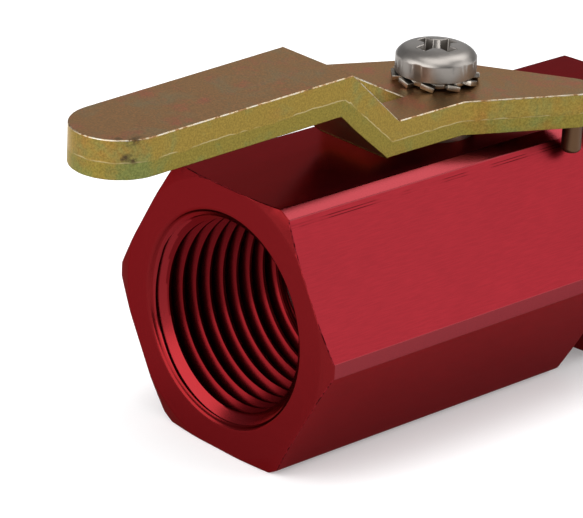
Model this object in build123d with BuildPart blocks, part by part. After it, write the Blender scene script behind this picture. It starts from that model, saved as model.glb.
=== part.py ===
from build123d import *
from math import cos, radians, sin, sqrt, tan
import os

os.makedirs("parts", exist_ok=True)

# Hexagon bar and the lengths along the flow, X
across_flats = 27.0
corner_diameter = 30.4
corner_chamfer_angle = 15
corner_chamfer_width = 1.45
overall_length = 53.7
body_length = 39.4
cap_length = 8.7

# Pipe ports, bored to the crest of a 1/2 inch taper pipe thread
port_radius = 9.15
port_mouth_radius = 10.65

# Ball, seats and the bores that hold them
ball_radius = 8.5
flow_radius = 5.0
chamber_radius = 8.8
seat_length = 3.7
seat_offset = 5.2
seat_bore_radius = 5.2
retainer_length = 2.0
retainer_bore_radius = 5.6
retainer_slot_width = 2.2
spigot_bore_radius = 12.0
spigot_bore_start = 5.65
spigot_wall_end = 11.45
cap_ring_land = 0.7
cap_ring_groove = 1.9
cap_ring_groove_radius = 10.75

# Stem, from its tongue in the ball to the double-D under the screw
stem_radius = 4.2
flange_radius = 5.35
flange_bore_radius = 5.5
flange_bottom = 9.1
flange_top = 10.05
flange_bore_top = 10.6
tongue_bottom = 6.4
tongue_width = 7.0
tongue_thickness = 3.4
drive_diameter = 6.4
drive_flats = 5.0
drive_height = 3.4
ring_groove_bottom = 11.2
ring_groove_height = 1.5
ring_groove_radius = 3.1

# Lever, a bent plate: heights are above the flow axis, plan sizes are from the stem axis
plate = 3.5
hub_underside = 15.1
lower_bend_x = -10.95
upper_bend_x = -17.3
slope_angle = 42.8
grip_droop = 1.35
near_edge = -6.37
grip_far_edge_at_bend = 3.45
grip_tip_centre_x = -41.5
grip_tip_radius = 4.7
neck_far_edge = -1.85
notch_start_x = -10.4
hub_front_x = -6.1
arm_near_angle = -25.6
arm_near_distance = 6.71
arm_far_angle = -58.3
arm_far_distance = 5.54
hub_far_angle = -26.4
hub_far_distance = 5.68
arm_tip_radius = 2.4
outer_bend_radius = 0.4
inner_bend_radius = 0.3

# Stop peg under the arm, at 45 degrees so that it meets the same flat a quarter turn apart
peg_offset = 9.72
peg_radius = 1.0
peg_bottom = 11.85
peg_edge_radius = 0.5

# Pan head screw and the toothed washer under it
head_radius = 4.0
head_height = 2.75
head_band = 1.65
shank_radius = 1.95
shank_length = 7.2
tapped_hole_spare = 2.4
recess_width = 4.4
recess_slot = 1.3
recess_depth = 1.9
recess_lead = 0.1
recess_taper = 10
head_shoulder_lean = (-0.45, 0.9)
washer_height = 0.85
washer_sheet = 0.5
washer_bore_radius = 2.15
washer_ring_radius = 3.5
washer_radius = 4.3
tooth_count = 10
tooth_width = 1.35
tooth_twist = -16
tooth_phase = -145.4

# Clearances
running_gap = 0.05
seal_gap = 0.02
hand_gap = 0.03

flow_height = across_flats / 2
front_x = -overall_length / 2
rear_x = overall_length / 2
body_rear_x = front_x + body_length
cap_front_x = rear_x - cap_length
seat_outer_x = seat_offset + seat_length
retainer_inner_x = seat_outer_x + running_gap
retainer_outer_x = retainer_inner_x + retainer_length
lever_top = hub_underside + plate

flow_axis = Axis((0, 0, flow_height), (1, 0, 0))
mid_plane = Plane(origin=(0, 0, flow_height), x_dir=(1, 0, 0), z_dir=(0, -1, 0))
port_cone = port_mouth_radius - port_radius


def across(x):
    """A plane square to the flow at x, with +Y to its right and +Z up."""
    return Plane(origin=(x, 0, flow_height), x_dir=(0, 1, 0), z_dir=(1, 0, 0))


def level(height):
    """A level plane at a height above the flow axis."""
    return Plane.XY.offset(flow_height + height)


def turned_outline(start_x, end_x):
    """Half section of the turned bar that trims the corners of a hexagon."""
    corner = corner_diameter / 2
    face = corner - corner_chamfer_width
    depth = corner_chamfer_width * tan(radians(corner_chamfer_angle))
    return [
        (start_x, 0),
        (start_x, face),
        (start_x + depth, corner),
        (end_x - depth, corner),
        (end_x, face),
        (end_x, 0),
    ]


def double_d(diameter, flats):
    """A round with two flats, square to the flow when the valve is open."""
    Circle(diameter / 2)
    Rectangle(diameter, flats, mode=Mode.INTERSECT)


def plan_line(angle, distance):
    """A plan line at an angle to the flow, a signed distance to the left of the stem axis."""
    direction = Vector(cos(radians(angle)), sin(radians(angle)))
    return Vector(-direction.Y, direction.X) * distance, direction


def crossing(first, second):
    """The plan point where two plan lines cross."""
    (start, along), (other, across_it) = first, second
    gap = other - start
    turn = along.X * across_it.Y - along.Y * across_it.X
    reach = (gap.X * across_it.Y - gap.Y * across_it.X) / turn
    point = start + along * reach
    return point.X, point.Y


# Body, a hexagon bar with the front port, the ball chamber and the stem bore
with BuildPart() as valve_body:
    with BuildSketch(across(front_x)):
        RegularPolygon(flow_height, 6, major_radius=False)
    extrude(amount=body_length)
    with BuildSketch(mid_plane):
        with BuildLine():
            Polyline(*turned_outline(front_x, body_rear_x), close=True)
        make_face()
    revolve(axis=flow_axis, mode=Mode.INTERSECT)
    with BuildSketch(mid_plane):
        with BuildLine():
            Polyline(
                (front_x, 0),
                (front_x, port_mouth_radius),
                (front_x + port_cone, port_radius),
                (-retainer_outer_x, port_radius),
                (-retainer_outer_x, chamber_radius),
                (spigot_bore_start, chamber_radius),
                (spigot_bore_start, spigot_bore_radius),
                (body_rear_x, spigot_bore_radius),
                (body_rear_x, 0),
                close=True,
            )
        make_face()
    revolve(axis=flow_axis, mode=Mode.SUBTRACT)
    with BuildSketch(level(0)):
        Circle(flange_bore_radius)
    extrude(amount=flange_bore_top, mode=Mode.SUBTRACT)
    with BuildSketch(level(0)):
        Circle(stem_radius + running_gap)
    extrude(amount=across_flats, mode=Mode.SUBTRACT)
valve_body.part.label = "valve_body"
export_step(valve_body.part, "parts/valve_body.step")

# End cap, a short hexagon with the rear port and a spigot that closes the chamber
spigot_radius = spigot_bore_radius - running_gap
spigot_front_x = spigot_bore_start + running_gap
spigot_pocket_end = seat_outer_x + running_gap
cap_ring_start = spigot_front_x + cap_ring_land
cap_ring_end = cap_ring_start + cap_ring_groove
with BuildPart() as end_cap:
    with BuildSketch(across(cap_front_x)):
        RegularPolygon(flow_height, 6, major_radius=False)
    extrude(amount=cap_length)
    with BuildSketch(mid_plane):
        with BuildLine():
            Polyline(*turned_outline(cap_front_x, rear_x), close=True)
        make_face()
    revolve(axis=flow_axis, mode=Mode.INTERSECT)
    with BuildSketch(mid_plane):
        with BuildLine():
            Polyline(
                (spigot_front_x, 0),
                (spigot_front_x, spigot_radius),
                (cap_ring_start, spigot_radius),
                (cap_ring_start, cap_ring_groove_radius),
                (cap_ring_end, cap_ring_groove_radius),
                (cap_ring_end, spigot_radius),
                (cap_front_x, spigot_radius),
                (cap_front_x, 0),
                close=True,
            )
        make_face()
    revolve(axis=flow_axis)
    with BuildSketch(mid_plane):
        with BuildLine():
            Polyline(
                (spigot_front_x, 0),
                (spigot_front_x, chamber_radius),
                (spigot_pocket_end, chamber_radius),
                (spigot_pocket_end, flow_radius),
                (spigot_wall_end, flow_radius),
                (spigot_wall_end, port_radius),
                (rear_x - port_cone, port_radius),
                (rear_x, port_mouth_radius),
                (rear_x, 0),
                close=True,
            )
        make_face()
    revolve(axis=flow_axis, mode=Mode.SUBTRACT)
end_cap.part.label = "end_cap"
export_step(end_cap.part, "parts/end_cap.step")

# Sealing ring round the spigot of the end cap
cap_ring_section = (spigot_bore_radius - cap_ring_groove_radius) / 2 - seal_gap
with BuildPart() as end_cap_o_ring:
    with BuildSketch(mid_plane):
        with Locations((cap_ring_start + cap_ring_groove / 2, cap_ring_groove_radius + cap_ring_section + seal_gap)):
            Circle(cap_ring_section)
    revolve(axis=flow_axis)
end_cap_o_ring.part.label = "end_cap_o_ring"
export_step(end_cap_o_ring.part, "parts/end_cap_o_ring.step")

# Ball, bored for the flow and slotted square to it for the stem
with BuildPart() as ball:
    with Locations((0, 0, flow_height)):
        Sphere(ball_radius)
    with BuildSketch(across(0)):
        Circle(flow_radius)
    extrude(amount=ball_radius, both=True, mode=Mode.SUBTRACT)
    with BuildSketch(level(tongue_bottom - 2 * running_gap)):
        Rectangle(tongue_thickness + 2 * running_gap, 2 * ball_radius)
    extrude(amount=ball_radius, mode=Mode.SUBTRACT)
ball.part.label = "ball"
export_step(ball.part, "parts/ball.step")

# Two soft seats, one on each side of the ball
seat_radius = chamber_radius - running_gap
cup_radius = ball_radius + hand_gap
cup_edge_radius = sqrt(cup_radius**2 - seat_offset**2)
cup_bottom = sqrt(cup_radius**2 - seat_bore_radius**2)
for seat_name, side in (("front_seat", -1), ("rear_seat", 1)):
    with BuildPart() as seat:
        with BuildSketch(mid_plane):
            with BuildLine():
                Polyline(
                    (side * seat_offset, cup_edge_radius),
                    (side * seat_offset, seat_radius),
                    (side * seat_outer_x, seat_radius),
                    (side * seat_outer_x, seat_bore_radius),
                    (side * cup_bottom, seat_bore_radius),
                )
                ThreePointArc(
                    (side * cup_bottom, seat_bore_radius),
                    (side * cup_radius * cos(radians(45)), cup_radius * sin(radians(45))),
                    (side * seat_offset, cup_edge_radius),
                )
            make_face()
        revolve(axis=flow_axis)
    seat.part.label = seat_name
    export_step(seat.part, f"parts/{seat_name}.step")

# Slotted ring that holds the front seat from the bottom of the front port
with BuildPart() as seat_retainer:
    with BuildSketch(across(-retainer_inner_x)):
        Circle(chamber_radius - running_gap)
        Circle(retainer_bore_radius, mode=Mode.SUBTRACT)
    extrude(amount=-retainer_length)
    with BuildSketch(across(-retainer_outer_x)):
        Rectangle(2 * chamber_radius, retainer_slot_width)
    extrude(amount=retainer_length / 2, mode=Mode.SUBTRACT)
seat_retainer.part.label = "seat_retainer"
export_step(seat_retainer.part, "parts/seat_retainer.step")

# Stem: tongue, flange, sealing groove, shoulder for the lever and a double-D drive
screw_hole_depth = shank_length - washer_height - (plate - drive_height) + tapped_hole_spare
with BuildPart() as stem:
    with BuildSketch(mid_plane):
        with BuildLine():
            Polyline(
                (0, flange_bottom),
                (flange_radius, flange_bottom),
                (flange_radius, flange_top),
                (stem_radius, flange_top),
                (stem_radius, ring_groove_bottom),
                (ring_groove_radius, ring_groove_bottom),
                (ring_groove_radius, ring_groove_bottom + ring_groove_height),
                (stem_radius, ring_groove_bottom + ring_groove_height),
                (stem_radius, hub_underside),
                (0, hub_underside),
                close=True,
            )
        make_face()
    revolve(axis=Axis.Z)
    with BuildSketch(level(tongue_bottom)):
        Rectangle(tongue_thickness, tongue_width)
    extrude(amount=flange_bottom - tongue_bottom)
    with BuildSketch(level(hub_underside)):
        double_d(drive_diameter, drive_flats)
    extrude(amount=drive_height)
    with BuildSketch(level(hub_underside + drive_height)):
        Circle(shank_radius + running_gap)
    extrude(amount=-screw_hole_depth, mode=Mode.SUBTRACT)
stem.part.label = "stem"
export_step(stem.part, "parts/stem.step")

# Sealing ring in the groove of the stem
stem_ring_section = (stem_radius + running_gap - ring_groove_radius) / 2 - seal_gap
with BuildPart() as stem_o_ring:
    with BuildSketch(mid_plane):
        with Locations((ring_groove_radius + stem_ring_section + seal_gap, ring_groove_bottom + ring_groove_height / 2)):
            Circle(stem_ring_section)
    revolve(axis=Axis.Z)
stem_o_ring.part.label = "stem_o_ring"
export_step(stem_o_ring.part, "parts/stem_o_ring.step")

# Thrust washer between the flange of the stem and the body
with BuildPart() as stem_thrust_washer:
    with BuildSketch(level(flange_top)):
        Circle(flange_radius)
        Circle(stem_radius + running_gap, mode=Mode.SUBTRACT)
    extrude(amount=flange_bore_top - flange_top - seal_gap)
stem_thrust_washer.part.label = "stem_thrust_washer"
export_step(stem_thrust_washer.part, "parts/stem_thrust_washer.step")

# Lever, cut from plate, bent twice and seen in plan as grip, neck, hub and stop arm
grip_run = upper_bend_x - grip_tip_centre_x + grip_tip_radius
grip_bend_height = lever_top + (lower_bend_x - upper_bend_x) * tan(radians(slope_angle))
grip_end = (
    upper_bend_x - grip_run - plate,
    grip_bend_height - (grip_run + plate) * tan(radians(grip_droop)),
)
near_line = plan_line(0, near_edge)
arm_near_line = plan_line(arm_near_angle, -arm_near_distance)
arm_far_line = plan_line(arm_far_angle, arm_far_distance)
hub_far_line = plan_line(hub_far_angle, hub_far_distance)
hub_front_line = plan_line(90, -hub_front_x)
near_kink = crossing(near_line, arm_near_line)
arm_apex = crossing(arm_near_line, arm_far_line)
far_corner = crossing(arm_far_line, hub_far_line)
front_corner = crossing(hub_far_line, hub_front_line)
grip_tip_y = near_edge + grip_tip_radius
with BuildPart() as lever:
    with BuildSketch(mid_plane):
        with BuildLine():
            Polyline(
                (arm_apex[0], lever_top),
                (lower_bend_x, lever_top),
                (upper_bend_x, grip_bend_height),
                grip_end,
            )
            offset(amount=plate, side=Side.LEFT, kind=Kind.INTERSECTION)
        make_face()
    extrude(amount=2 * across_flats, both=True)
    bends = lever.edges().filter_by(Axis.Y).sort_by(Axis.X)[2:6]
    upper_outer, lower_inner = bends.sort_by(Axis.Z)[3], bends.sort_by(Axis.Z)[1]
    upper_inner, lower_outer = bends.sort_by(Axis.Z)[2], bends.sort_by(Axis.Z)[0]
    fillet([upper_outer, lower_outer], radius=outer_bend_radius)
    sharp_bends = lever.edges().filter_by(Axis.Y).filter_by(
        lambda edge: min(
            (edge.center() - upper_inner.center()).length,
            (edge.center() - lower_inner.center()).length,
        ) < inner_bend_radius
    )
    fillet(sharp_bends, radius=inner_bend_radius)
    with BuildSketch(level(peg_bottom)) as lever_plan:
        with BuildLine():
            Polyline(
                (grip_tip_centre_x, near_edge),
                near_kink,
                arm_apex,
                far_corner,
                front_corner,
                (hub_front_x, neck_far_edge),
                (notch_start_x, neck_far_edge),
                (notch_start_x, grip_far_edge_at_bend),
                (upper_bend_x, grip_far_edge_at_bend),
                (grip_tip_centre_x, grip_tip_y + grip_tip_radius),
            )
            ThreePointArc(
                (grip_tip_centre_x, grip_tip_y + grip_tip_radius),
                (grip_tip_centre_x - grip_tip_radius, grip_tip_y),
                (grip_tip_centre_x, near_edge),
            )
        make_face()
        fillet(lever_plan.vertices().sort_by(Axis.X)[-1], radius=arm_tip_radius)
    extrude(amount=across_flats, mode=Mode.INTERSECT)
    with BuildSketch(level(hub_underside)):
        double_d(drive_diameter + 2 * running_gap, drive_flats + 2 * running_gap)
    extrude(amount=plate, mode=Mode.SUBTRACT)
    with BuildSketch(level(hub_underside)):
        with Locations((peg_offset, -peg_offset)):
            Circle(peg_radius)
    extrude(amount=peg_bottom - hub_underside)
    fillet(lever.edges().filter_by(GeomType.CIRCLE).sort_by(Axis.Z)[0], radius=peg_edge_radius)
lever.part.label = "lever"
export_step(lever.part, "parts/lever.step")

# External tooth lock washer, a thin ring with twisted teeth round it
washer_middle = lever_top + washer_height / 2
tooth_length = washer_radius - washer_ring_radius + washer_sheet
with BuildPart() as star_washer:
    with BuildSketch(level(washer_middle - washer_sheet / 2)):
        Circle(washer_ring_radius)
        Circle(washer_bore_radius, mode=Mode.SUBTRACT)
    extrude(amount=washer_sheet)
    with Locations((0, 0, flow_height + washer_middle)):
        with PolarLocations(washer_radius - tooth_length / 2, tooth_count, start_angle=tooth_phase):
            Box(tooth_length, tooth_width, washer_sheet, rotation=(tooth_twist, 0, 0))
star_washer.part.label = "star_washer"
export_step(star_washer.part, "parts/star_washer.step")

# Pan head screw with a cross recess
head_underside = lever_top + washer_height
with BuildPart() as lever_screw:
    with BuildSketch(mid_plane):
        with BuildLine():
            Polyline(
                (0, head_underside + head_height),
                (0, head_underside),
                (head_radius, head_underside),
                (head_radius, head_underside + head_band),
            )
            Spline(
                (head_radius, head_underside + head_band),
                (0, head_underside + head_height),
                tangents=[head_shoulder_lean, (-1, 0)],
            )
        make_face()
    revolve(axis=Axis.Z)
    with BuildSketch(level(head_underside)):
        Circle(shank_radius)
    extrude(amount=-shank_length)
    with BuildSketch(level(head_underside + head_height + recess_lead)):
        with PolarLocations(0, 2, angular_range=180):
            Rectangle(recess_width, recess_slot)
        Circle(recess_slot)
    extrude(amount=-recess_lead - recess_depth, taper=recess_taper, mode=Mode.SUBTRACT)
lever_screw.part.label = "lever_screw"
export_step(lever_screw.part, "parts/lever_screw.step")
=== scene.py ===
import math

import bmesh
import bpy
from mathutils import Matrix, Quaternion, Vector, noise


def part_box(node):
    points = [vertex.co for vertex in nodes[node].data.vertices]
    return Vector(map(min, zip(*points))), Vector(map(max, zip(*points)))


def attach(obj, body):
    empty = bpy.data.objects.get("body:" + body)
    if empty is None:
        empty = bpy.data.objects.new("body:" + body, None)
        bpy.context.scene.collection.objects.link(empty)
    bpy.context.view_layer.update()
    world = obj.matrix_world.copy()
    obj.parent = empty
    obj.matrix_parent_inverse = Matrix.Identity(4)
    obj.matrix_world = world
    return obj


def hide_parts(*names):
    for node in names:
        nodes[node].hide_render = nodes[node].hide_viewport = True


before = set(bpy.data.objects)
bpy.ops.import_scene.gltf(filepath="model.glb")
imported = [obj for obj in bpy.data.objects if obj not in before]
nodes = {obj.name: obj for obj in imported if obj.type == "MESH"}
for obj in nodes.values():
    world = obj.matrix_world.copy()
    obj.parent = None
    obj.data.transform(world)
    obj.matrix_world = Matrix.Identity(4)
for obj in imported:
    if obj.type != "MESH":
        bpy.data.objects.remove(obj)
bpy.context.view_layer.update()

mm = 0.001  # lengths are in millimetres, but for those of the floor, lamps and camera, in metres
samePoint = 0.0005 * mm  # points closer than this are merged
housingBody = "housing"
turningBody = "turning_stem"


# Room left between pieces
room = {
    "seat": 0.05,
    "ring": 0.02,
    "spigot": 0.05,
    "stemFlange": 0.15,
    "thrustWasher": 0.02,
}


# Sizes shared by the pieces, read off the frame
def nodeSpan(node, axis):
    low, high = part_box(node)
    return low[axis] / mm, high[axis] / mm


barStart, barEnd = nodeSpan("valve_body", 0)
capEnd = nodeSpan("end_cap", 0)[1]
flowHeight = nodeSpan("valve_body", 2)[1] / 2
cornerRadius = nodeSpan("valve_body", 1)[1]
retainerStart = nodeSpan("seat_retainer", 0)[0]
chamberRadius = nodeSpan("front_seat", 1)[1] + room["seat"]
spigotBore = nodeSpan("end_cap_o_ring", 1)[1] + room["ring"]
spigotStart = nodeSpan("end_cap", 0)[0] - room["spigot"]


# Node trees


def newMaterial(name):
    material = bpy.data.materials.new(name)
    material.use_nodes = True
    tree = material.node_tree
    tree.nodes.clear()
    output = tree.nodes.new("ShaderNodeOutputMaterial")
    shader = tree.nodes.new("ShaderNodeBsdfPrincipled")
    tree.links.new(shader.outputs["BSDF"], output.inputs["Surface"])
    return material, tree, shader


def addNode(tree, kind, **settings):
    node = tree.nodes.new(kind)
    for key, value in settings.items():
        if hasattr(node, key):
            setattr(node, key, value)
        else:
            node.inputs[key.replace("_", " ")].default_value = value
    return node


def mathNode(tree, operation, first, second=None, clamp=False):
    node = tree.nodes.new("ShaderNodeMath")
    node.operation = operation
    node.use_clamp = clamp
    for socket, value in zip(node.inputs, (first, second)):
        if value is None:
            continue
        if isinstance(value, (int, float)):
            socket.default_value = value
        else:
            tree.links.new(value, socket)
    return node.outputs[0]


# The colour mix has its factor at input 0, its colours at 6 and 7 and its result at output 2
def mixColour(tree, factor, first, second, blend="MIX"):
    node = tree.nodes.new("ShaderNodeMix")
    node.data_type = "RGBA"
    node.blend_type = blend
    for socket, value in ((node.inputs[0], factor), (node.inputs[6], first), (node.inputs[7], second)):
        if hasattr(value, "is_output"):
            tree.links.new(value, socket)
        elif isinstance(value, (int, float)):
            socket.default_value = value
        else:
            socket.default_value = (*value, 1)
    return node.outputs[2]


def ramp(tree, value, stops):
    node = tree.nodes.new("ShaderNodeValToRGB")
    tree.links.new(value, node.inputs[0])
    elements = node.color_ramp.elements
    while len(elements) < len(stops):
        elements.new(0.5)
    for element, (position, colour) in zip(elements, stops):
        element.position = position
        element.color = (*colour, 1)
    return node.outputs[0]


# 0 up to low, 1 from high on, with a smooth rise between
def step(tree, value, low, high):
    node = tree.nodes.new("ShaderNodeMapRange")
    node.interpolation_type = "SMOOTHSTEP"
    tree.links.new(value, node.inputs["Value"])
    node.inputs["From Min"].default_value = low
    node.inputs["From Max"].default_value = high
    return node.outputs["Result"]


def scaled(colour, factor):
    return tuple(factor * part for part in colour)


# Roughness that goes up by spread in all, with middle halfway, as the value goes from 0 to 1
def varyRoughness(tree, shader, value, middle, spread):
    swing = mathNode(tree, "MULTIPLY", value, spread)
    tree.links.new(mathNode(tree, "ADD", swing, middle - spread / 2), shader.inputs["Roughness"])


def raiseBump(tree, shader, height, strength, distance):
    bump = addNode(tree, "ShaderNodeBump", Strength=strength, Distance=distance * mm)
    tree.links.new(height, bump.inputs["Height"])
    tree.links.new(bump.outputs[0], shader.inputs["Normal"])


def newGroup(name, inputs, outputs):
    tree = bpy.data.node_groups.new(name, "ShaderNodeTree")
    for label, kind in inputs:
        tree.interface.new_socket(label, in_out="INPUT", socket_type=kind)
    for label, kind in outputs:
        tree.interface.new_socket(label, in_out="OUTPUT", socket_type=kind)
    return tree, tree.nodes.new("NodeGroupInput"), tree.nodes.new("NodeGroupOutput")


def placeGroup(tree, group, **values):
    node = tree.nodes.new("ShaderNodeGroup")
    node.node_tree = group
    for key, value in values.items():
        socket = node.inputs[key]
        if hasattr(value, "is_output"):
            tree.links.new(value, socket)
        else:
            socket.default_value = value
    return node


# Metal that is duller and tinted towards its edges, under a thin clear coat
def coatMetal(shader, look):
    shader.inputs["Metallic"].default_value = 1.0
    shader.inputs["Specular Tint"].default_value = (*look["edgeTint"], 1)
    shader.inputs["Coat Weight"].default_value = look["coatWeight"]
    shader.inputs["Coat IOR"].default_value = look["coatIor"]
    shader.inputs["Coat Roughness"].default_value = look["coatRoughness"]


def objectPlace(tree):
    return tree.nodes.new("ShaderNodeTexCoord").outputs["Object"]


# Fine lines left by a tool or a die: they run along the first axis of the skin map
def buildGrainGroup():
    tree, start, end = newGroup(
        "toolGrain",
        [("Skin", "NodeSocketVector"), ("Across", "NodeSocketFloat"),
         ("Along", "NodeSocketFloat"), ("Detail", "NodeSocketFloat")],
        [("Streak", "NodeSocketFloat"), ("Cloud", "NodeSocketFloat")],
    )
    split = addNode(tree, "ShaderNodeSeparateXYZ")
    tree.links.new(start.outputs["Skin"], split.inputs[0])
    join = addNode(tree, "ShaderNodeCombineXYZ")
    tree.links.new(mathNode(tree, "MULTIPLY", split.outputs[0], start.outputs["Along"]), join.inputs[0])
    tree.links.new(mathNode(tree, "MULTIPLY", split.outputs[1], start.outputs["Across"]), join.inputs[1])
    streak = addNode(tree, "ShaderNodeTexNoise", Scale=1.0, Roughness=0.6)
    tree.links.new(join.outputs[0], streak.inputs["Vector"])
    tree.links.new(start.outputs["Detail"], streak.inputs["Detail"])
    cloud = addNode(tree, "ShaderNodeTexNoise", Scale=0.16, Detail=3.0, Roughness=0.5)
    tree.links.new(start.outputs["Skin"], cloud.inputs["Vector"])
    tree.links.new(streak.outputs["Fac"], end.inputs["Streak"])
    tree.links.new(cloud.outputs["Fac"], end.inputs["Cloud"])
    return tree


# Patches of interference colour in a chromate film
def buildChromateGroup():
    tree, start, end = newGroup(
        "chromateTint",
        [("Place", "NodeSocketVector"), ("Patch", "NodeSocketFloat"), ("Gold", "NodeSocketColor"),
         ("Green", "NodeSocketColor"), ("Rose", "NodeSocketColor")],
        [("Color", "NodeSocketColor"), ("Fleck", "NodeSocketFloat")],
    )
    broad = addNode(tree, "ShaderNodeTexNoise", Detail=5.0, Roughness=0.68, Distortion=0.6)
    tree.links.new(start.outputs["Place"], broad.inputs["Vector"])
    tree.links.new(start.outputs["Patch"], broad.inputs["Scale"])
    second = addNode(tree, "ShaderNodeTexNoise", noise_dimensions="4D", W=3.7, Detail=4.0, Roughness=0.6)
    tree.links.new(start.outputs["Place"], second.inputs["Vector"])
    tree.links.new(mathNode(tree, "MULTIPLY", start.outputs["Patch"], 1.7), second.inputs["Scale"])
    fleck = addNode(tree, "ShaderNodeTexNoise", Scale=5200.0, Detail=2.0, Roughness=0.7)
    tree.links.new(start.outputs["Place"], fleck.inputs["Vector"])
    greenMask = step(tree, broad.outputs["Fac"], 0.47, 0.68)
    roseMask = step(tree, second.outputs["Fac"], 0.5, 0.72)
    colour = mixColour(tree, greenMask, start.outputs["Gold"], start.outputs["Green"])
    colour = mixColour(tree, roseMask, colour, start.outputs["Rose"])
    tree.links.new(colour, end.inputs["Color"])
    tree.links.new(fleck.outputs["Fac"], end.inputs["Fleck"])
    return tree


grainGroup = buildGrainGroup()
chromateGroup = buildChromateGroup()
print("node groups built")


# Red anodised aluminium

redFinish = {
    "flat": (0.190, 0.0118, 0.0172),
    "turned": (0.130, 0.0062, 0.0075),
    "corner": (0.172, 0.0165, 0.0215),
    # the thread's red is darker than the mouth's: painted shade deep in the port
    "thread": (0.100, 0.0035, 0.005),
    "mouth": (0.165, 0.0100, 0.0125),
    "dark": (0.05, 0.002, 0.003),
    "brightFleck": (0.42, 0.18, 0.18),
    "edgeTint": (0.48, 0.33, 0.35),
    "coatWeight": 0.10,
    "cornerCoat": 0.35,
    "coatIor": 1.27,
    "coatRoughness": 0.22,
    "flatGrain": {"Across": 9.0, "Along": 0.45, "Detail": 5.0},
    "turnedGrain": {"Across": 9.0, "Along": 0.05, "Detail": 3.0},
    "flatShades": (0.88, 1.06),
    "turnedShades": (0.9, 1.1),
    "cloudShades": ((0.93, 0.93, 0.93), (1.06, 1.04, 1.04)),
    "flatRoughness": (0.34, 0.16),  # middle and spread
    "turnedRoughness": (0.25, 0.10),
    "burrRoughness": 0.4,
    "flatBump": 0.5,
    "turnedBump": 0.3,
    "grainHeight": 0.006,
    "dieLines": (1.36, 1.62),  # below the hexagon's own corner
    "dieLineWidth": 0.08,
}


def skinMap(tree):
    return addNode(tree, "ShaderNodeUVMap", uv_map="skin").outputs[0]


# Broken dark lines that a die left along the near sloping flat, just under its turned corner
def dieLineMask(tree):
    place = objectPlace(tree)
    slide = addNode(tree, "ShaderNodeVectorMath", operation="DOT_PRODUCT")
    tree.links.new(place, slide.inputs[0])
    slide.inputs[1].default_value = (0, -math.cos(math.radians(60)), -math.sin(math.radians(60)))
    corner = flowHeight * 2.5 / math.sqrt(3) * mm  # how far up the slope the hexagon's own corner lies
    below = mathNode(tree, "ADD", slide.outputs["Value"], corner)
    fade = addNode(tree, "ShaderNodeTexNoise", Scale=260.0, Detail=2.0)
    tree.links.new(place, fade.inputs["Vector"])
    mask = 0.0
    for level in redFinish["dieLines"]:
        away = mathNode(tree, "ABSOLUTE", mathNode(tree, "SUBTRACT", below, level * mm))
        line = mathNode(tree, "SUBTRACT", 1.0, step(tree, away, 0.0, redFinish["dieLineWidth"] * mm))
        mask = mathNode(tree, "MAXIMUM", line, mask)
    return mathNode(tree, "MULTIPLY", mask, step(tree, fade.outputs["Fac"], 0.38, 0.62))


def makeRedFlat():
    material, tree, shader = newMaterial("redAnodisedFlat")
    coatMetal(shader, redFinish)
    grain = placeGroup(tree, grainGroup, Skin=skinMap(tree), **redFinish["flatGrain"])
    streaks = step(tree, grain.outputs["Streak"], 0.36, 0.66)
    darker, lighter = (scaled(redFinish["flat"], shade) for shade in redFinish["flatShades"])
    colour = mixColour(tree, streaks, darker, lighter)
    clouded = mixColour(tree, grain.outputs["Cloud"], *redFinish["cloudShades"])
    colour = mixColour(tree, 1.0, colour, clouded, "MULTIPLY")
    colour = mixColour(tree, dieLineMask(tree), colour, redFinish["dark"])
    tree.links.new(colour, shader.inputs["Base Color"])
    varyRoughness(tree, shader, grain.outputs["Streak"], *redFinish["flatRoughness"])
    raiseBump(tree, shader, grain.outputs["Streak"], redFinish["flatBump"], redFinish["grainHeight"])
    return material


def makeRedTurned(name, colour, coat):
    material, tree, shader = newMaterial(name)
    coatMetal(shader, redFinish)
    shader.inputs["Coat Weight"].default_value = coat
    grain = placeGroup(tree, grainGroup, Skin=skinMap(tree), **redFinish["turnedGrain"])
    darker, lighter = (scaled(colour, shade) for shade in redFinish["turnedShades"])
    tree.links.new(mixColour(tree, grain.outputs["Streak"], darker, lighter), shader.inputs["Base Color"])
    varyRoughness(tree, shader, grain.outputs["Streak"], *redFinish["turnedRoughness"])
    raiseBump(tree, shader, grain.outputs["Streak"], redFinish["turnedBump"], redFinish["grainHeight"])
    return material


# The thin burr where a cut meets a flat: mostly dark, with a few bright flecks
def makeRedBurr():
    material, tree, shader = newMaterial("redBurr")
    coatMetal(shader, redFinish)
    fleck = addNode(tree, "ShaderNodeTexNoise", Scale=1500.0, Detail=3.0, Roughness=0.7)
    tree.links.new(objectPlace(tree), fleck.inputs["Vector"])
    colour = ramp(tree, fleck.outputs["Fac"], [
        (0.44, redFinish["dark"]), (0.52, redFinish["flat"]),
        (0.66, redFinish["flat"]), (0.72, redFinish["brightFleck"]),
    ])
    tree.links.new(colour, shader.inputs["Base Color"])
    shader.inputs["Roughness"].default_value = redFinish["burrRoughness"]
    return material


redFlat = makeRedFlat()
redTurned = makeRedTurned("redAnodisedTurned", redFinish["turned"], redFinish["coatWeight"])
redThreadPaintedShade = makeRedTurned("redAnodisedThreadPaintedShade", redFinish["thread"], redFinish["coatWeight"])
redMouth = makeRedTurned("redAnodisedMouth", redFinish["mouth"], redFinish["coatWeight"])
redCorner = makeRedTurned("redAnodisedCorner", redFinish["corner"], redFinish["cornerCoat"])
redBurr = makeRedBurr()
print("red anodised finishes built")


# Shapes


def objectFrom(name, bm, materials, body):
    mesh = bpy.data.meshes.new(name)
    bm.to_mesh(mesh)
    bm.free()
    piece = bpy.data.objects.new(name, mesh)
    bpy.context.scene.collection.objects.link(piece)
    for material in materials:
        mesh.materials.append(material)
    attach(piece, body)
    return piece


def smoothShade(piece, angle):
    mesh = piece.data
    mesh.shade_smooth()
    mesh.set_sharp_from_angle(angle=math.radians(angle))
    weighted = piece.modifiers.new("evenShading", "WEIGHTED_NORMAL")
    weighted.keep_sharp = True
    weighted.weight = 80


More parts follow.
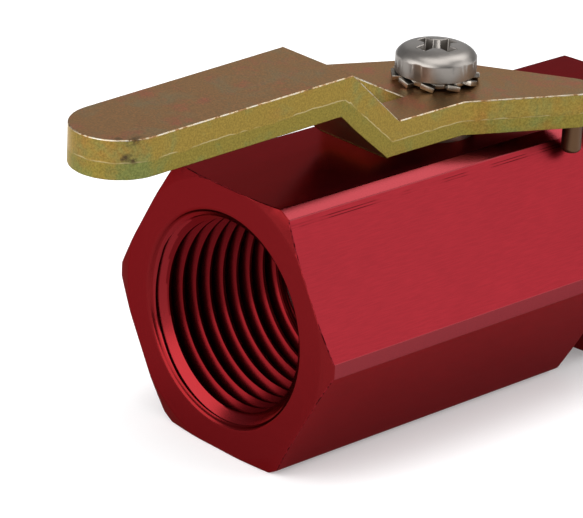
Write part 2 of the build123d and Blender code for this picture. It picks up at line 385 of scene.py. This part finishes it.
# Body and end cap: a hexagon bar turned at its corners, with a pipe thread in the port

barShape = {
    "cornerChamferWidth": 1.45,
    "cornerChamferAngle": 15.0,
    "edgeBreak": 0.075,
    "narrowest": 0.02,  # a chamfer under this width has no broken edges of its own
    "columnsInside": 3,  # points on half a flat, inside and outside the chamfer's curve
    "columnsOutside": 5,
    "boreSides": 96,
    "sharpAngle": 38,
}
threadShape = {
    "pitch": 1.70,
    "crestRadius": 9.50,
    "depth": 0.97,
    "taper": 1 / 32,
    "crestShare": 0.16,
    "rootShare": 0.16,
    "pointsPerFlank": 7,
    "start": 0.40,
    "phase": -0.305,
    "fadeOut": 1.2,
    "portColourRadius": 10.5,  # inside this radius the port has its own reds, the thread's darker as painted shade
    "mouthEnd": 1.5,  # depth at which the mouth's red gives way to the thread's darker red, painted shade deep in the port
}
# Depth below the face and radius of the turned mouth: a rounded lip, then a cone
mouthProfile = [
    (0.0, 11.0), (0.03, 10.90), (0.09, 10.78), (0.18, 10.66), (0.26, 10.63),
    (0.60, 10.18), (1.42, 9.20),
]
capShape = {
    "hexLength": 8.7,
    "wallStart": 8.95,
    "wallEnd": 11.45,
    "flowRadius": 5.0,
    "ringGroove": 10.75,
    "ringRoom": 0.345,  # on each side of the ring in its groove
}
turnedSkin, barSkin, burrSkin, cornerSkin, threadSkin, mouthSkin = range(6)
redSkins = [redTurned, redFlat, redBurr, redCorner, redThreadPaintedShade, redMouth]


# Angles of the points round the flow axis: 0 is the far side (+Y) and 90 the top
def columnAngles():
    edge = math.degrees(math.acos(flowHeight / cornerRadius))
    breakAngle = math.degrees(barShape["edgeBreak"] / cornerRadius)
    chamferStart = math.degrees(math.acos(flowHeight / (cornerRadius - barShape["cornerChamferWidth"])))
    inner, outer = barShape["columnsInside"], barShape["columnsOutside"]
    half = [chamferStart * i / inner for i in range(1, inner + 1)]
    half += [chamferStart + (edge - breakAngle - chamferStart) * i / outer for i in range(1, outer + 1)]
    half += [edge + breakAngle, 30.0]
    flat = [-angle for angle in reversed(half[:-1])] + [0.0] + half
    angles = [math.radians(60 * turn + 30 + angle) for turn in range(6) for angle in flat]
    return [angles[-1] - 2 * math.pi] + angles


columns = columnAngles()


def fromFlatCentre(angle):
    return abs((math.degrees(angle) % 60) - 30)


def barRadius(angle):
    return min(flowHeight / math.cos(math.radians(fromFlatCentre(angle))), cornerRadius)


# Four rows at one end: face, two on the corner chamfer, one on the bar, with the edges just broken
def endRows(faceX, inward):
    slope = math.radians(barShape["cornerChamferAngle"])
    small = barShape["edgeBreak"]
    rows = [[], [], [], []]
    for angle in columns:
        radius = barRadius(angle)
        faceRadius = min(radius, cornerRadius - barShape["cornerChamferWidth"])
        width = radius - faceRadius
        run = min(small, width / 3)
        first = (0, faceRadius - small)
        last = (width * math.tan(slope) + small, radius)
        if width < barShape["narrowest"]:
            middle = [tuple(a + (b - a) * share for a, b in zip(first, last)) for share in (1 / 3, 2 / 3)]
        else:
            middle = [(part * math.tan(slope), faceRadius + part) for part in (run, width - run)]
        for row, (depth, height) in zip(rows, (first, *middle, last)):
            row.append((faceX + inward * depth, height))
    return rows


def roundRow(x, radius):
    return [(x, radius)] * len(columns)


# Radius of the profile at a depth, and 0 past its end
def along(profile, depth):
    for (d0, r0), (d1, r1) in zip(profile, profile[1:]):
        if d0 <= depth <= d1:
            return r0 + (r1 - r0) * (depth - d0) / (d1 - d0)
    return 0


# One pitch of the thread, as shares of the pitch and of the depth, from the crest to the root and back
def threadPhases():
    shape = threadShape
    flank = (1 - shape["crestShare"] - shape["rootShare"]) / 2
    count = shape["pointsPerFlank"]
    rootStart = shape["crestShare"] + flank
    rootEnd = rootStart + shape["rootShare"]
    phases = [(0, 0)]
    phases += [(shape["crestShare"] + flank * i / count, i / count) for i in range(count + 1)]
    phases += [(rootEnd + flank * i / count, 1 - i / count) for i in range(count)]
    return phases


# Rows of a right-hand taper thread that follow its helix, from the +X end to the -X end
def threadRows(mouthX, bottomX):
    shape = threadShape
    sign = 1 if bottomX > mouthX else -1
    length = abs(bottomX - mouthX)
    low, high = sorted((mouthX + sign * shape["start"], bottomX))
    phases = threadPhases()
    turns = math.ceil((high - low) / shape["pitch"]) + 1
    rows = []
    for index in range(turns * len(phases), -len(phases), -1):
        turn, place = divmod(index, len(phases))
        phase, height = phases[place]
        row = []
        for angle in columns:
            around = (angle - columns[0]) / (2 * math.pi)
            x = low + shape["pitch"] * (turn + phase + around - 1 + shape["phase"])
            x = min(max(x, low), high)
            depth = abs(x - mouthX)
            fade = max(0, min(1, (length - depth) / shape["fadeOut"]))
            crest = shape["crestRadius"] - shape["taper"] * depth
            row.append((x, max(crest + shape["depth"] * fade * height, along(mouthProfile, depth))))
        rows.append(row)
    return rows


def mouthRows(mouthX, inward):
    last = threadShape["start"]
    return [roundRow(mouthX + inward * depth, radius) for depth, radius in mouthProfile if depth < last]


def mouthDepth(x):
    return min(x - barStart, capEnd - x)


# Closes a list of rows round the flow axis into one shell; the hexagon's flats follow row barRow
def shellFromRows(rows, barRow):
    bm = bmesh.new()
    skin = bm.loops.layers.uv.new("skin")
    around = [0.0]
    for a, b in zip(columns, columns[1:]):
        around.append(around[-1] + barRadius(a) * (b - a))
    travel = [[0.0] * len(columns)]
    for before, after in zip(rows, rows[1:]):
        travel.append([t + math.dist(p, q) for t, p, q in zip(travel[-1], before, after)])
    grid = []
    for row in rows:
        line = []
        for angle, (x, radius) in zip(columns, row):
            y, z = radius * math.cos(angle), flowHeight + radius * math.sin(angle)
            line.append(bm.verts.new(Vector((x, y, z)) * mm))
        grid.append(line)
    flatEnd = math.degrees(math.acos(flowHeight / cornerRadius)) - 0.05  # just short of the turned corner
    for i in range(len(rows)):
        j = (i + 1) % len(rows)
        for c in range(len(columns) - 1):
            corners = [(i, c), (i, c + 1), (j, c + 1), (j, c)]
            face = bm.faces.new([grid[r][k] for r, k in corners])
            onFlat = fromFlatCentre((columns[c] + columns[c + 1]) / 2) < flatEnd
            if i == barRow and onFlat:
                face.material_index = barSkin
            elif onFlat and i in (barRow - 1, barRow + 1):
                face.material_index = burrSkin
            elif i == barRow:
                face.material_index = cornerSkin
            elif max(rows[r][k][1] for r, k in corners) < threadShape["portColourRadius"]:
                # faces deeper in the port take the thread's darker red, which is painted shade
                deep = max(mouthDepth(rows[r][k][0]) for r, k in corners) > threadShape["mouthEnd"]
                face.material_index = threadSkin if deep else mouthSkin
            else:
                face.material_index = turnedSkin
            for loop, (r, k) in zip(face.loops, corners):
                if face.material_index == barSkin:
                    loop[skin].uv = (rows[r][k][0], around[k])
                else:
                    closing = r == 0 and i > 0  # the shell closes on its first row
                    loop[skin].uv = (around[k], travel[i][k] + 1 if closing else travel[r][k])
    bmesh.ops.remove_doubles(bm, verts=bm.verts, dist=samePoint)
    bmesh.ops.dissolve_degenerate(bm, edges=bm.edges, dist=0.0001 * mm)
    bmesh.ops.recalc_face_normals(bm, faces=bm.faces)
    return bm


def latheCutter(name, profile):
    bm = bmesh.new()
    sides = barShape["boreSides"]
    turns = [2 * math.pi * i / sides for i in range(sides)]
    rings = []
    for z, radius in profile:
        places = [Vector((radius * math.cos(turn), radius * math.sin(turn), z)) for turn in turns]
        rings.append([bm.verts.new(place * mm) for place in places])
    for low, high in zip(rings, rings[1:]):
        for i in range(sides):
            bm.faces.new([low[i], low[(i + 1) % sides], high[(i + 1) % sides], high[i]])
    bm.faces.new(list(reversed(rings[0])))
    bm.faces.new(rings[-1])
    bmesh.ops.recalc_face_normals(bm, faces=bm.faces)
    mesh = bpy.data.meshes.new(name)
    bm.to_mesh(mesh)
    bm.free()
    cutter = bpy.data.objects.new(name, mesh)
    bpy.context.scene.collection.objects.link(cutter)
    return cutter


def cutWith(piece, cutter):
    cut = piece.modifiers.new("cut", "BOOLEAN")
    cut.operation = "DIFFERENCE"
    cut.solver = "EXACT"
    cut.object = cutter
    graph = bpy.context.evaluated_depsgraph_get()
    mesh = bpy.data.meshes.new_from_object(piece.evaluated_get(graph))
    old = piece.data
    piece.modifiers.clear()
    piece.data = mesh
    bpy.data.meshes.remove(old)
    bpy.data.objects.remove(cutter)


def buildBody():
    rows = endRows(barStart, 1)
    barRow = len(rows) - 1
    rows += list(reversed(endRows(barEnd, -1)))
    inside = [
        (barEnd, spigotBore), (spigotStart, spigotBore),
        (spigotStart, chamberRadius), (retainerStart, chamberRadius),
    ]
    rows += [roundRow(x, radius) for x, radius in inside]
    rows += threadRows(barStart, retainerStart)
    rows += list(reversed(mouthRows(barStart, 1)))
    bm = shellFromRows(rows, barRow)
    piece = objectFrom("bodyShell", bm, redSkins, housingBody)
    flange = nodeSpan("stem_thrust_washer", 1)[1] + room["stemFlange"]
    shoulder = nodeSpan("stem_thrust_washer", 2)[1] + room["thrustWasher"]
    top = 2 * flowHeight + 1  # clear of the top flat
    stemBore = nodeSpan("stem_o_ring", 1)[1] + room["ring"]
    profile = [(flowHeight, flange), (shoulder, flange), (shoulder, stemBore), (top, stemBore)]
    cutWith(piece, latheCutter("stemBoreCutter", profile))
    smoothShade(piece, barShape["sharpAngle"])
    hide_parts("valve_body")
    return piece


def buildCap():
    capStart = capEnd - capShape["hexLength"]
    rows = endRows(capStart, 1)
    barRow = len(rows) - 1
    rows += list(reversed(endRows(capEnd, -1)))
    rows += mouthRows(capEnd, -1)
    rows += threadRows(capEnd, capShape["wallEnd"])
    spigotFront = nodeSpan("end_cap", 0)[0]
    ringStart, ringEnd = nodeSpan("end_cap_o_ring", 0)
    ringStart, ringEnd = ringStart - capShape["ringRoom"], ringEnd + capShape["ringRoom"]
    spigot = spigotBore - room["spigot"]
    inside = [
        (capShape["wallEnd"], capShape["flowRadius"]), (capShape["wallStart"], capShape["flowRadius"]),
        (capShape["wallStart"], chamberRadius), (spigotFront, chamberRadius), (spigotFront, spigot),
        (ringStart, spigot), (ringStart, capShape["ringGroove"]), (ringEnd, capShape["ringGroove"]),
        (ringEnd, spigot), (capStart, spigot),
    ]
    rows += [roundRow(x, radius) for x, radius in inside]
    bm = shellFromRows(rows, barRow)
    piece = objectFrom("capShell", bm, redSkins, housingBody)
    smoothShade(piece, barShape["sharpAngle"])
    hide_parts("end_cap")
    return piece


bodyShell = buildBody()
capShell = buildCap()
print("body and cap built", len(bodyShell.data.polygons), len(capShell.data.polygons))


# Steel and soft finishes


def makeSteel(name, colour, roughness, marks):
    material, tree, shader = newMaterial(name)
    shader.inputs["Metallic"].default_value = 1.0
    worn = addNode(tree, "ShaderNodeTexNoise", Scale=marks, Detail=4.0, Roughness=0.65)
    tree.links.new(objectPlace(tree), worn.inputs["Vector"])
    shaded = mixColour(tree, worn.outputs["Fac"], scaled(colour, 0.78), colour)
    tree.links.new(shaded, shader.inputs["Base Color"])
    varyRoughness(tree, shader, worn.outputs["Fac"], roughness, 0.14)
    raiseBump(tree, shader, worn.outputs["Fac"], 0.25, 0.006)
    return material


def makeSoft(name, colour, roughness, subsurface):
    material, tree, shader = newMaterial(name)
    mottle = addNode(tree, "ShaderNodeTexNoise", Scale=900.0, Detail=3.0)
    tree.links.new(objectPlace(tree), mottle.inputs["Vector"])
    shaded = mixColour(tree, mottle.outputs["Fac"], scaled(colour, 0.85), colour)
    tree.links.new(shaded, shader.inputs["Base Color"])
    shader.inputs["Roughness"].default_value = roughness
    shader.inputs["Subsurface Weight"].default_value = subsurface
    return material


# The solid as a mesh, with faces that are flat to half a degree made into one
def solidCopy(node):
    bm = bmesh.new()
    bm.from_mesh(nodes[node].data)
    bmesh.ops.remove_doubles(bm, verts=bm.verts, dist=samePoint)
    bmesh.ops.dissolve_limit(
        bm, angle_limit=math.radians(0.5), verts=bm.verts, edges=bm.edges, use_dissolve_boundaries=False,
    )
    return bm


def sharpEdges(bm, angle):
    limit = math.radians(angle)
    return [edge for edge in bm.edges if len(edge.link_faces) == 2 and edge.calc_face_angle(0) > limit]


def breakEdges(bm, width, angle):
    bmesh.ops.bevel(
        bm, geom=sharpEdges(bm, angle), offset=width * mm, segments=2, profile=0.5,
        affect="EDGES", clamp_overlap=False, loop_slide=True,
    )


# Lever: one sheared and bent plate with a yellow chromate film, and the peg under its arm

lever = {
    "edgeRound": 0.11,
    "sharpAngle": 35,
    "shadeAngle": 50,
    "cutSpacing": 0.6,  # length of the pieces into which the long edges are cut for the burr
    "hubHeight": 3.5,  # from the washer down to the underside of hub and arm
    "lip": 0.32,  # how far the grip's sheared underside hangs below the solid's
    "lipEnd": (-17.0, -11.5),  # the lip fades out from the first x to the second
    "burrHeight": 0.035,
    "burrGrain": 1500.0,
    "edgeTint": (1.0, 0.86, 0.7),
    "coatWeight": 0.1,
    "coatIor": 1.3,
    "coatRoughness": 0.3,
    "faceGold": (0.250, 0.130, 0.054),
    "faceGreen": (0.210, 0.150, 0.078),
    "faceRose": (0.310, 0.100, 0.058),
    "facePatch": 240.0,
    "faceFlecks": ((0.66, 0.68, 0.70), (1.26, 1.22, 1.20)),
    "faceRoughness": (0.38, 0.10),  # middle and spread
    "faceHeight": 0.008,
    "sideGold": (0.225, 0.155, 0.032),
    "sideGreen": (0.170, 0.165, 0.050),
    "sideRose": (0.25, 0.135, 0.030),
    "sidePatch": 150.0,
    "sideFlecks": ((0.76, 0.76, 0.76), (1.18, 1.18, 1.18)),
    "sideRoughness": (0.40, 0.12),
    "sideHeight": 0.02,
    "shearDepth": 0.57,  # share of the plate's height above the torn band
    "shearWaver": 0.18,
    "shearLine": (0.33, 0.27, 0.13),
    "tornTint": (0.88, 1.0, 0.95),
    # dark, middle and pale colours of the top-edge burr; the pale ones are painted highlight
    "burrPaintedHighlights": ((0.10, 0.07, 0.03), (0.42, 0.33, 0.21), (0.46, 0.42, 0.35)),
    "burrRoughness": 0.42,
    # the peg's dark brown is partly its own colour and partly painted shade from the arm above it
    "peg": {"colour": (0.10, 0.055, 0.03), "roughness": 0.4, "marks": 2200.0},
    "knockDark": (0.060, 0.040, 0.020),
    "knocks": [  # middle and radius of the knocks near the tip of the grip
        ((-44.22, -4.74, 37.30), 0.85),
        ((-43.60, -5.64, 37.30), 0.90),
        ((-42.94, -5.81, 37.30), 0.70),
        ((-44.10, -5.40, 35.60), 0.75),
        ((-43.40, -5.75, 35.60), 0.75),
    ],
}
facePlate, sidePlate, burrPlate, pegPlate = range(4)


def placeTint(tree, place, part):
    tones = {tone: (*lever[part + tone], 1) for tone in ("Gold", "Green", "Rose")}
    return placeGroup(tree, chromateGroup, Place=place, Patch=lever[part + "Patch"], **tones)


# Ragged dark marks where the grip has been knocked
def addKnocks(tree, place, colour):
    ragged = addNode(tree, "ShaderNodeTexNoise", Scale=1400.0, Detail=3.0)
    tree.links.new(place, ragged.inputs["Vector"])
    mask = 0.0
    for middle, radius in lever["knocks"]:
        away = addNode(tree, "ShaderNodeVectorMath", operation="DISTANCE")
        tree.links.new(place, away.inputs[0])
        away.inputs[1].default_value = Vector(middle) * mm
        outside = step(tree, away.outputs["Value"], 0.3 * radius * mm, radius * mm)
        mask = mathNode(tree, "MAXIMUM", mathNode(tree, "SUBTRACT", 1.0, outside), mask)
    mask = mathNode(tree, "MULTIPLY", mask, step(tree, ragged.outputs["Fac"], 0.40, 0.64))
    return mixColour(tree, mask, colour, lever["knockDark"])


def makeLeverFace():
    material, tree, shader = newMaterial("chromateFace")
    coatMetal(shader, lever)
    place = objectPlace(tree)
    tint = placeTint(tree, place, "face")
    fleck = step(tree, tint.outputs["Fleck"], 0.3, 0.75)
    shade = mixColour(tree, fleck, *lever["faceFlecks"])
    colour = mixColour(tree, 1.0, tint.outputs["Color"], shade, "MULTIPLY")
    tree.links.new(addKnocks(tree, place, colour), shader.inputs["Base Color"])
    varyRoughness(tree, shader, fleck, *lever["faceRoughness"])
    raiseBump(tree, shader, tint.outputs["Fleck"], 0.35, lever["faceHeight"])
    return material


# Sheared side of the plate: a smooth upper band, a torn lower one and the line between them
def makeLeverSide():
    material, tree, shader = newMaterial("chromateEdge")
    coatMetal(shader, lever)
    place = objectPlace(tree)
    tint = placeTint(tree, place, "side")
    depth = addNode(tree, "ShaderNodeAttribute", attribute_name="plateDepth").outputs["Fac"]
    wave = addNode(tree, "ShaderNodeTexNoise", Scale=420.0, Detail=3.0)
    tree.links.new(place, wave.inputs["Vector"])
    centred = mathNode(tree, "SUBTRACT", wave.outputs["Fac"], 0.5)
    level = mathNode(tree, "ADD", depth, mathNode(tree, "MULTIPLY", centred, lever["shearWaver"]))
    shear = lever["shearDepth"]
    lower = step(tree, level, shear - 0.02, shear + 0.05)
    rising = step(tree, level, shear - 0.025, shear - 0.003)
    falling = step(tree, level, shear + 0.003, shear + 0.025)
    line = mathNode(tree, "SUBTRACT", rising, falling, clamp=True)
    torn = mixColour(tree, 1.0, tint.outputs["Color"], lever["tornTint"], "MULTIPLY")
    colour = mixColour(tree, lower, tint.outputs["Color"], torn)
    fleck = step(tree, tint.outputs["Fleck"], 0.32, 0.7)
    shade = mixColour(tree, fleck, *lever["sideFlecks"])
    colour = mixColour(tree, 1.0, colour, shade, "MULTIPLY")
    broken = mathNode(tree, "MULTIPLY", line, step(tree, wave.outputs["Fac"], 0.42, 0.6))
    colour = mixColour(tree, broken, colour, lever["shearLine"])
    tree.links.new(addKnocks(tree, place, colour), shader.inputs["Base Color"])
    varyRoughness(tree, shader, lower, *lever["sideRoughness"])
    height = mathNode(tree, "ADD", mathNode(tree, "MULTIPLY", tint.outputs["Fleck"], 0.3), line)
    raiseBump(tree, shader, height, 0.5, lever["sideHeight"])
    return material


# Burr strips along the plate's top edges: dark, gold and pale patches set by a noise, the pale ones a
# painted highlight broken by dark spots
def makeLeverBurr():
    material, tree, shader = newMaterial("chromateBurrPaintedHighlight")
    shader.inputs["Metallic"].default_value = 1.0
    shader.inputs["Roughness"].default_value = lever["burrRoughness"]
    place = objectPlace(tree)
    wear = addNode(tree, "ShaderNodeTexNoise", Scale=900.0, Detail=4.0, Roughness=0.7)
    tree.links.new(place, wear.inputs["Vector"])
    dark, middle, paintedHighlight = lever["burrPaintedHighlights"]
    stops = [(0.34, dark), (0.44, lever["faceGold"]), (0.5, middle), (0.62, paintedHighlight)]
    colour = ramp(tree, wear.outputs["Fac"], stops)
    tree.links.new(addKnocks(tree, place, colour), shader.inputs["Base Color"])
    return material


# Heights of the plate's upper and lower faces along the lever, the lower one up to the stem
def plateProfiles(bm):
    top, bottom = [], []
    for vert in bm.verts:
        rises = [face.normal.z for face in vert.link_faces]
        if max(rises) > 0.6:
            top.append((vert.co.x, vert.co.z))
        if min(rises) < -0.6 and vert.co.x < 0:
            bottom.append((vert.co.x, vert.co.z))
    return sorted(top), sorted(bottom)


# Where the profile starts and stops sloping between the grip and the hub
def bends(profile):
    sloping = []
    for (x0, z0), (x1, z1) in zip(profile, profile[1:]):
        if x1 - x0 > 0.01 * mm and abs(z1 - z0) > 0.3 * (x1 - x0):
            sloping += [x0, x1]
    return min(sloping), max(sloping)


def heightAt(profile, x):
    if x <= profile[0][0]:
        return profile[0][1]
    for (x0, z0), (x1, z1) in zip(profile, profile[1:]):
        if x0 <= x <= x1:
            return z0 if x1 - x0 < 1e-9 else z0 + (z1 - z0) * (x - x0) / (x1 - x0)
    return profile[-1][1]


# Cuts the plate across at its bends, and its long edges, but for upright ones, into short pieces
def cutLever(bm, profiles):
    for x in [x for profile in profiles for x in bends(profile)]:
        geometry = bm.verts[:] + bm.edges[:] + bm.faces[:]
        bmesh.ops.bisect_plane(bm, geom=geometry, plane_co=(x, 0, 0), plane_no=(1, 0, 0))
    for edge in sharpEdges(bm, lever["sharpAngle"]):
        cuts = int(edge.calc_length() / (lever["cutSpacing"] * mm))
        if cuts > 0 and abs((edge.verts[0].co - edge.verts[1].co).normalized().z) < 0.9:
            bmesh.ops.subdivide_edges(bm, edges=[edge], cuts=cuts)


def dressLever(bm, depth):
    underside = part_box("star_washer")[0][2] - lever["hubHeight"] * mm
    broad = (2.2 * lever["edgeRound"] * mm) ** 2  # a face over this area is no part of a rounded edge
    for face in bm.faces:
        rise = abs(face.normal.z)
        middle = face.calc_center_median()
        level = sum(vert[depth] for vert in face.verts) / len(face.verts)
        if middle.x > 0 and middle.z < underside - 0.1 * mm:
            face.material_index = pegPlate
        elif rise > 0.72 and face.calc_area() > broad:
            face.material_index = facePlate
        elif level < 0.06 and 0.1 < rise < 0.99:
            face.material_index = burrPlate
        else:
            face.material_index = sidePlate


# Lets the grip's underside hang as a sheared lip, inside the CAD box, and roughens the edges
def shearLever(bm, depth):
    lipStart, lipStop = lever["lipEnd"]
    lowCorner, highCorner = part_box("lever")
    for vert in bm.verts:
        share = max(0, min(1, (lipStop - vert.co.x / mm) / (lipStop - lipStart)))
        if vert[depth] > 0.9:
            vert.co.z -= lever["lip"] * mm * share * share * (3 - 2 * share)
        for axis in range(3):
            vert.co[axis] = max(lowCorner[axis], min(highCorner[axis], vert.co[axis]))
    for vert in bm.verts:
        if 0 < vert[depth] < 0.05 or 0.95 < vert[depth] < 1:
            jolt = -abs(noise.noise(vert.co * lever["burrGrain"]))
            vert.co += vert.normal * jolt * lever["burrHeight"] * mm


def buildLever():
    bm = solidCopy("lever")
    bm.normal_update()
    top, bottom = plateProfiles(bm)
    cutLever(bm, (top, bottom))
    breakEdges(bm, lever["edgeRound"], lever["sharpAngle"])
    bm.normal_update()
    depth = bm.verts.layers.float.new("plateDepth")  # 0 at the upper face and 1 at the lower
    for vert in bm.verts:
        high, low = heightAt(top, vert.co.x), heightAt(bottom, vert.co.x)
        vert[depth] = (high - vert.co.z) / (high - low)
    dressLever(bm, depth)
    shearLever(bm, depth)
    peg = makeSteel("pegPinPaintedShade", **lever["peg"])
    materials = [makeLeverFace(), makeLeverSide(), makeLeverBurr(), peg]
    piece = objectFrom("leverPlate", bm, materials, turningBody)
    smoothShade(piece, lever["shadeAngle"])
    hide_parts("lever")
    return piece


leverPlate = buildLever()
print("lever built", len(leverPlate.data.polygons))


# Screw and toothed washer: the solids with their edges broken

screw = {
    "edgeBreak": 0.07,
    "sharpAngle": 30,
    "shadeAngle": 40,
    "steel": {"colour": (0.27, 0.25, 0.23), "roughness": 0.36, "marks": 2600.0},
}
washer = {
    "edgeBreak": 0.05,
    "sharpAngle": 35,
    "shadeAngle": 40,
    "steel": {"colour": (0.34, 0.31, 0.27), "roughness": 0.33, "marks": 3000.0},
}


def buildScrew():
    bm = solidCopy("lever_screw")
    breakEdges(bm, screw["edgeBreak"], screw["sharpAngle"])
    steel = makeSteel("stainlessScrew", **screw["steel"])
    piece = objectFrom("leverScrewHead", bm, [steel], turningBody)
    smoothShade(piece, screw["shadeAngle"])
    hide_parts("lever_screw")


def buildWasher():
    bm = solidCopy("star_washer")
    breakEdges(bm, washer["edgeBreak"], washer["sharpAngle"])
    steel = makeSteel("springSteel", **washer["steel"])
    piece = objectFrom("toothedWasher", bm, [steel], turningBody)
    smoothShade(piece, washer["shadeAngle"])
    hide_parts("star_washer")


buildScrew()
buildWasher()
print("screw and washer built")


# Inner pieces: the solids as they are, with their own finishes

inner = {
    "stem": {"colour": (0.42, 0.38, 0.30), "roughness": 0.34, "marks": 2200.0},
    "retainer": {"colour": (0.46, 0.45, 0.43), "roughness": 0.36, "marks": 1800.0},
    "ball": {"colour": (0.66, 0.66, 0.65), "roughness": 0.12, "marks": 500.0},
    "white": {"colour": (0.82, 0.82, 0.78), "roughness": 0.45, "subsurface": 0.1},
    "rubber": {"colour": (0.02, 0.02, 0.02), "roughness": 0.5, "subsurface": 0.0},
}


def dressNodes(names, material):
    for name in names:
        mesh = nodes[name].data
        mesh.materials.clear()
        mesh.materials.append(material)


dressNodes(["stem"], makeSteel("turnedStem", **inner["stem"]))
dressNodes(["seat_retainer"], makeSteel("retainerMetal", **inner["retainer"]))
dressNodes(["ball"], makeSteel("polishedBall", **inner["ball"]))
dressNodes(["front_seat", "rear_seat", "stem_thrust_washer"], makeSoft("whiteSeat", **inner["white"]))
dressNodes(["end_cap_o_ring", "stem_o_ring"], makeSoft("blackRubber", **inner["rubber"]))
print("inner pieces dressed")


# Floor, light and camera

stageLook = {
    "floorSize": 3.0,
    "floorDrop": 0.02,  # in millimetres, so that the floor doesn't share the base flat's plane
    "floorColour": (0.94, 0.94, 0.94),
    "whiteShare": 0.25,
    "world": (0.30, 0.30, 0.305),
    "lampDistance": 1.0,
}
lamps = {
    "rightSoftbox": {"towards": (0.62, -0.66, 0.42), "size": (0.85, 0.85), "radiance": 2.2},
    "upperSoftbox": {"towards": (0.62, 0.02, 0.78), "size": (0.52, 0.52), "radiance": 3.55},
    "leftSoftbox": {"towards": (-0.88, 0.04, 0.47), "size": (1.60, 0.95), "radiance": 3.6},
    "overheadSoftbox": {"towards": (-0.06, -0.10, 1.0), "size": (0.80, 0.80), "radiance": 3.0},
    "rearSoftbox": {"towards": (0.62, 0.67, 0.40), "size": (0.50, 0.50), "radiance": 0.50},
}
cameraSetup = {
    "place": (-0.22891, -0.22142, 0.14668),
    "aim": (-0.00658, 0.01209, 0.01051),
    "rollDegrees": 2.777,
    "lens": 213.97,
    "sensorWidth": 36.0,
    "clipStart": 0.01,
}


# Pale paper that also glows a little to the camera and in reflections, so that it stays white
def buildFloor():
    bm = bmesh.new()
    bmesh.ops.create_grid(bm, x_segments=1, y_segments=1, size=stageLook["floorSize"] / 2)
    mesh = bpy.data.meshes.new("floor")
    bm.to_mesh(mesh)
    bm.free()
    floor = bpy.data.objects.new("floor", mesh)
    bpy.context.scene.collection.objects.link(floor)
    floor.location.z = -stageLook["floorDrop"] * mm
    material = bpy.data.materials.new("paleFloor")
    material.use_nodes = True
    tree = material.node_tree
    tree.nodes.clear()
    output = tree.nodes.new("ShaderNodeOutputMaterial")
    paper = addNode(tree, "ShaderNodeBsdfDiffuse")
    paper.inputs["Color"].default_value = (*stageLook["floorColour"], 1)
    white = addNode(tree, "ShaderNodeEmission", Strength=1.0)
    shown = addNode(tree, "ShaderNodeMixShader")
    path = addNode(tree, "ShaderNodeLightPath")
    seen = mathNode(tree, "MAXIMUM", path.outputs["Is Camera Ray"], path.outputs["Is Glossy Ray"])
    seen = mathNode(tree, "MAXIMUM", seen, path.outputs["Is Transmission Ray"])
    tree.links.new(mathNode(tree, "MULTIPLY", seen, stageLook["whiteShare"]), shown.inputs[0])
    tree.links.new(paper.outputs[0], shown.inputs[1])
    tree.links.new(white.outputs[0], shown.inputs[2])
    tree.links.new(shown.outputs[0], output.inputs["Surface"])
    mesh.materials.append(material)


def buildLamps():
    for name, lamp in lamps.items():
        light = bpy.data.lights.new(name, "AREA")
        light.shape = "RECTANGLE"
        light.size, light.size_y = lamp["size"]
        light.energy = lamp["radiance"] * math.pi * lamp["size"][0] * lamp["size"][1]
        holder = bpy.data.objects.new(name, light)
        bpy.context.scene.collection.objects.link(holder)
        towards = Vector(lamp["towards"]).normalized()
        holder.location = towards * stageLook["lampDistance"] + Vector((0, 0, flowHeight * mm))
        holder.rotation_euler = towards.to_track_quat("Z", "Y").to_euler()


def buildWorld():
    world = bpy.data.worlds.new("studio")
    bpy.context.scene.world = world
    world.use_nodes = True
    backdrop = world.node_tree.nodes["Background"]
    backdrop.inputs["Color"].default_value = (*stageLook["world"], 1)
    backdrop.inputs["Strength"].default_value = 1.0


def buildCamera():
    lens = bpy.data.cameras.new("photoCamera")
    lens.lens = cameraSetup["lens"]
    lens.sensor_width = cameraSetup["sensorWidth"]
    lens.clip_start = cameraSetup["clipStart"]
    camera = bpy.data.objects.new("photoCamera", lens)
    bpy.context.scene.collection.objects.link(camera)
    place = Vector(cameraSetup["place"])
    look = (Vector(cameraSetup["aim"]) - place).to_track_quat("-Z", "Y")
    camera.location = place
    camera.rotation_mode = "QUATERNION"
    camera.rotation_quaternion = look @ Quaternion((0, 0, 1), math.radians(cameraSetup["rollDegrees"]))
    bpy.context.scene.camera = camera


buildFloor()
buildLamps()
buildWorld()
buildCamera()
bpy.context.scene.view_settings.view_transform = "Standard"
print("floor, light and camera set")

bpy.context.view_layer.update()
